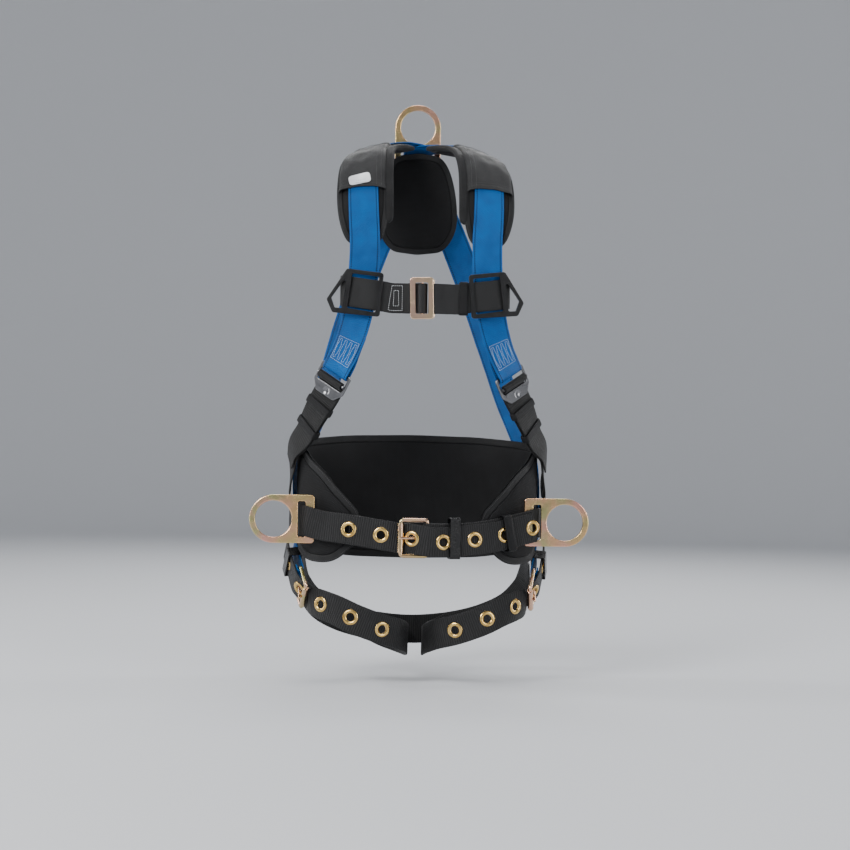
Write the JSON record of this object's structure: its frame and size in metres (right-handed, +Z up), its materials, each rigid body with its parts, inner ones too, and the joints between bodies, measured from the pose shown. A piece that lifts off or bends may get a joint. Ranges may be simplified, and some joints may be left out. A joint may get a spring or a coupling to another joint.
{
  "type": "full body safety harness",
  "caption": "Full body fall arrest harness with padded shoulders and waist belt, chest buckle, leg straps and forged attachment rings at back and hips.",
  "frame": {"origin": "at the base of the neck, level with the top of the shoulders, in the middle of the wearer", "axes": "+Z up, -Y the way the wearer faces, +X the wearer's left"},
  "size_m": [0.515, 0.2781, 0.8712],
  "materials": {
    "blue_webbing": "satin woven polyester with tracer stitches",
    "black_webbing": "ribbed woven polyester",
    "pad_mesh": "spacer mesh over foam, bound edges",
    "pad_sleeve": "plain woven, hemmed",
    "blank_label": "plain",
    "plated_ring": "iridescent zinc plating",
    "plated_buckle": "iridescent zinc plating",
    "adjuster_steel": "satin",
    "brass_eyelet": "polished",
    "moulded_black": "semi gloss",
    "elastic_band": "shiny elastic weave"
  },
  "bodies": {
    "webbing": {"belt_buckle_frame": "plated_buckle", "belt_grommets": "brass_eyelet", "dorsal_pad": "pad_mesh", "dorsal_web_plate": "moulded_black", "leg_buckle_frame_left": "plated_buckle", "leg_buckle_frame_right": "plated_buckle", "leg_grommets_left": "brass_eyelet", "leg_grommets_right": "brass_eyelet", "leg_strap_left": "black_webbing", "leg_strap_right": "black_webbing", "main_strap_left": "blue_webbing", "main_strap_right": "blue_webbing", "neck_roll_left": "pad_mesh", "neck_roll_right": "pad_mesh", "pad_cover_left": "pad_sleeve", "pad_cover_right": "pad_sleeve", "pad_label_right": "blank_label", "seat_strap": "black_webbing", "shoulder_pad_left": "pad_mesh", "shoulder_pad_right": "pad_mesh", "torso_adjuster_frame_left": "adjuster_steel", "torso_adjuster_frame_right": "adjuster_steel", "torso_strap_left": "black_webbing", "torso_strap_right": "black_webbing", "waist_belt": "black_webbing", "waist_pad": "pad_mesh"},
    "dorsal_ring": {"dorsal_ring": "plated_ring"},
    "side_ring_left": {"side_ring_left": "plated_ring"},
    "side_ring_right": {"side_ring_right": "plated_ring"},
    "belt_roller": {"belt_buckle_roller": "plated_buckle"},
    "belt_prong": {"belt_buckle_prong": "plated_buckle"},
    "belt_keeper": {"belt_keeper": "moulded_black"},
    "belt_label_keeper": {"belt_label_keeper": "elastic_band"},
    "chest_group": {"chest_strap_left": "black_webbing", "chest_strap_right": "black_webbing", "chest_buckle_front": "plated_buckle", "chest_buckle_rear": "plated_buckle", "chest_buckle_bar": "plated_buckle", "chest_elastic_keeper": "elastic_band", "lanyard_keeper_left": "moulded_black", "lanyard_keeper_right": "moulded_black"},
    "leg_roller_left": {"leg_buckle_roller_left": "plated_buckle"},
    "leg_prong_left": {"leg_buckle_prong_left": "plated_buckle"},
    "leg_keeper_left": {"leg_keeper_left": "moulded_black"},
    "torso_bar_left": {"torso_adjuster_bar_left": "adjuster_steel"},
    "torso_upper_keeper_left": {"torso_keeper_upper_left": "elastic_band"},
    "torso_lower_keeper_left": {"torso_keeper_lower_left": "elastic_band"},
    "leg_roller_right": {"leg_buckle_roller_right": "plated_buckle"},
    "leg_prong_right": {"leg_buckle_prong_right": "plated_buckle"},
    "leg_keeper_right": {"leg_keeper_right": "moulded_black"},
    "torso_bar_right": {"torso_adjuster_bar_right": "adjuster_steel"},
    "torso_upper_keeper_right": {"torso_keeper_upper_right": "elastic_band"},
    "torso_lower_keeper_right": {"torso_keeper_lower_right": "elastic_band"}
  },
  "joints": [
    {"name": "dorsal_ring_hinge", "type": "hinge", "parent": "webbing", "child": "dorsal_ring", "pos_m": [0, 0.131, 0.0212], "axis": [-1, 0, 0], "range_deg": [0, 86]},
    {"name": "side_ring_left_hinge", "type": "hinge", "parent": "webbing", "child": "side_ring_left", "pos_m": [0.166, -0.067, -0.544], "axis": [0, 0, 1], "range_deg": [-14, 6]},
    {"name": "side_ring_right_hinge", "type": "hinge", "parent": "webbing", "child": "side_ring_right", "pos_m": [-0.166, -0.067, -0.544], "axis": [0, 0, 1], "range_deg": [-6, 32]},
    {"name": "belt_roller_spin", "type": "hinge", "parent": "webbing", "child": "belt_roller", "pos_m": [-0.0315, -0.118, -0.568], "axis": [0, 0, 1], "continuous": true},
    {"name": "belt_prong_hinge", "type": "hinge", "parent": "webbing", "child": "belt_prong", "pos_m": [0.0085, -0.118, -0.568], "axis": [0, 0, 1], "range_deg": [0, 0.6]},
    {"name": "belt_keeper_slide", "type": "slide", "parent": "webbing", "child": "belt_keeper", "axis": [0.9787, 0.2055, 0], "range_m": [-0.004, 0.004]},
    {"name": "belt_label_keeper_slide", "type": "slide", "parent": "webbing", "child": "belt_label_keeper", "axis": [0.9094, 0.3618, 0.2053], "range_m": [-0.006, 0.006]},
    {"name": "chest_height_slide", "type": "slide", "parent": "webbing", "child": "chest_group", "axis": [0, 0, 1], "range_m": [-0.001, 0.008]},
    {"name": "leg_roller_left_spin", "type": "hinge", "parent": "webbing", "child": "leg_roller_left", "pos_m": [0.173, -0.046, -0.663], "axis": [0.1175, 0.7312, -0.6719], "continuous": true},
    {"name": "leg_prong_left_hinge", "type": "hinge", "parent": "webbing", "child": "leg_prong_left", "pos_m": [0.18137, -0.02166, -0.63504], "axis": [0.1175, 0.7312, -0.6719], "range_deg": [-0.8, 0]},
    {"name": "leg_keeper_left_slide", "type": "slide", "parent": "webbing", "child": "leg_keeper_left", "axis": [0.2202, 0.6406, 0.7357], "range_m": [-0.006, 0.006]},
    {"name": "torso_bar_left_slide", "type": "slide", "parent": "webbing", "child": "torso_bar_left", "axis": [0.4176, 0.2784, -0.865], "range_m": [-0.0005, 0.0005]},
    {"name": "torso_upper_keeper_left_slide", "type": "slide", "parent": "webbing", "child": "torso_upper_keeper_left", "axis": [0.4211, 0.3609, -0.8321], "range_m": [-0.002, 0.002]},
    {"name": "torso_lower_keeper_left_slide", "type": "slide", "parent": "webbing", "child": "torso_lower_keeper_left", "axis": [0.406, 0.4555, -0.7922], "range_m": [-0.002, 0.002]},
    {"name": "leg_roller_right_spin", "type": "hinge", "parent": "webbing", "child": "leg_roller_right", "pos_m": [-0.173, -0.046, -0.663], "axis": [0.1175, -0.7312, 0.6719], "continuous": true},
    {"name": "leg_prong_right_hinge", "type": "hinge", "parent": "webbing", "child": "leg_prong_right", "pos_m": [-0.18137, -0.02166, -0.63504], "axis": [0.1175, -0.7312, 0.6719], "range_deg": [-0.8, 0]},
    {"name": "leg_keeper_right_slide", "type": "slide", "parent": "webbing", "child": "leg_keeper_right", "axis": [-0.2202, 0.6406, 0.7357], "range_m": [-0.006, 0.006]},
    {"name": "torso_bar_right_slide", "type": "slide", "parent": "webbing", "child": "torso_bar_right", "axis": [-0.4176, 0.2784, -0.865], "range_m": [-0.0005, 0.0005]},
    {"name": "torso_upper_keeper_right_slide", "type": "slide", "parent": "webbing", "child": "torso_upper_keeper_right", "axis": [-0.4211, 0.3609, -0.8321], "range_m": [-0.002, 0.002]},
    {"name": "torso_lower_keeper_right_slide", "type": "slide", "parent": "webbing", "child": "torso_lower_keeper_right", "axis": [-0.406, 0.4555, -0.7922], "range_m": [-0.002, 0.002]}
  ]
}
